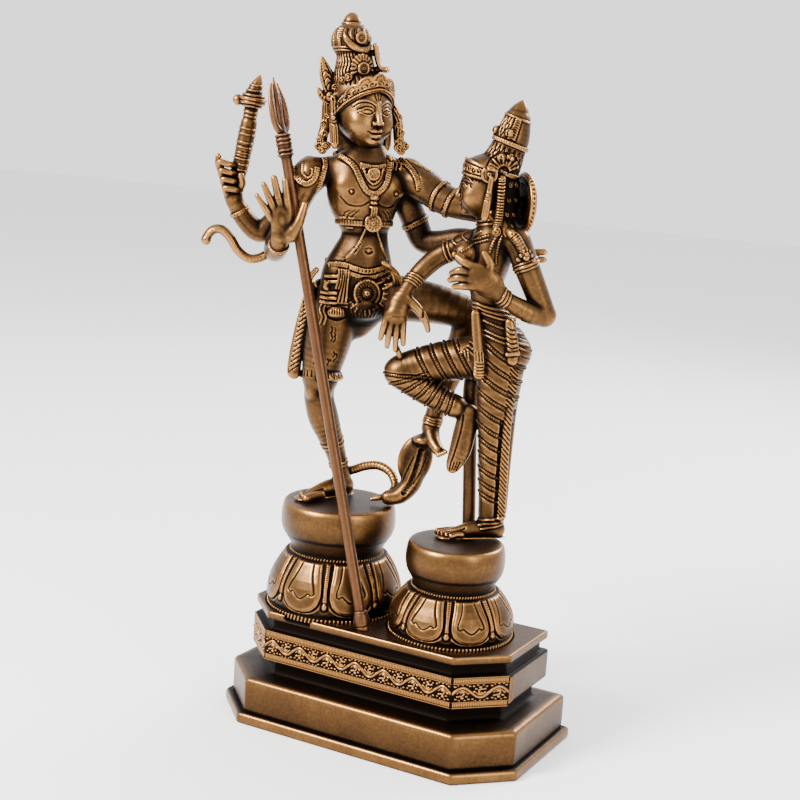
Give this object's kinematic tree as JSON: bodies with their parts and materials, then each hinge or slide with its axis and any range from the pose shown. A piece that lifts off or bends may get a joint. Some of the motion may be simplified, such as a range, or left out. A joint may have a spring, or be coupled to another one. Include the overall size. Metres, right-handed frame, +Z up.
{
  "type": "divine couple statue",
  "caption": "Cast brass statue of a four-armed god with a trident embracing his consort, each on a lotus pedestal set in a stepped plinth.",
  "frame": {"origin": "on the floor, under the middle of the plinth's flange", "axes": "+Z up, -Y towards the plinth's front, +X along the plinth towards the consort"},
  "size_m": [0.2777, 0.132, 0.5263],
  "materials": {
    "aged_brass": "satin, with dark patina in the recesses",
    "copper_brown_brass": "satin, redder and browner"
  },
  "bodies": {
    "root": {"plinth": "aged_brass", "male_lotus_pedestal": "aged_brass", "female_lotus_pedestal": "aged_brass", "male_figure": "aged_brass", "female_figure": "aged_brass", "trident": "copper_brown_brass"}
  },
  "joints": []
}
